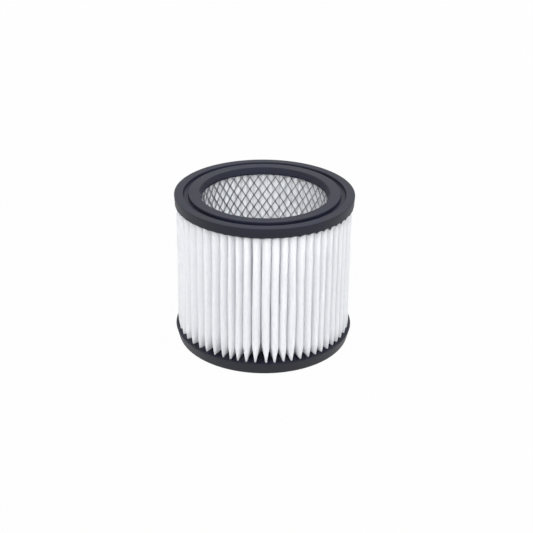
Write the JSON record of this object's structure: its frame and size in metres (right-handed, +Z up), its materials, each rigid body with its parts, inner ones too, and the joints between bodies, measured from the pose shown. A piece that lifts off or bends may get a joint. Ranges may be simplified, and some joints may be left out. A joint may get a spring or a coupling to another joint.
{
  "type": "vacuum cartridge filter",
  "caption": "Round pleated cartridge filter for a wet and dry vacuum cleaner: white folded sheet between dark cast end caps, open at the top, with an expanded steel inner cage.",
  "frame": {"origin": "middle of the flat underside of the closed end, on the filter's axis", "axes": "+Z up along the filter's axis, out of the open end"},
  "size_m": [0.135, 0.135, 0.117],
  "materials": {
    "cap_polyurethane": "cast matte",
    "cage_steel": "galvanised",
    "filter_fleece": "calendered fleece"
  },
  "bodies": {
    "root": {"bottom_cap": "cap_polyurethane", "top_cap": "cap_polyurethane", "inner_cage": "cage_steel", "pleated_media": "filter_fleece"}
  },
  "joints": []
}
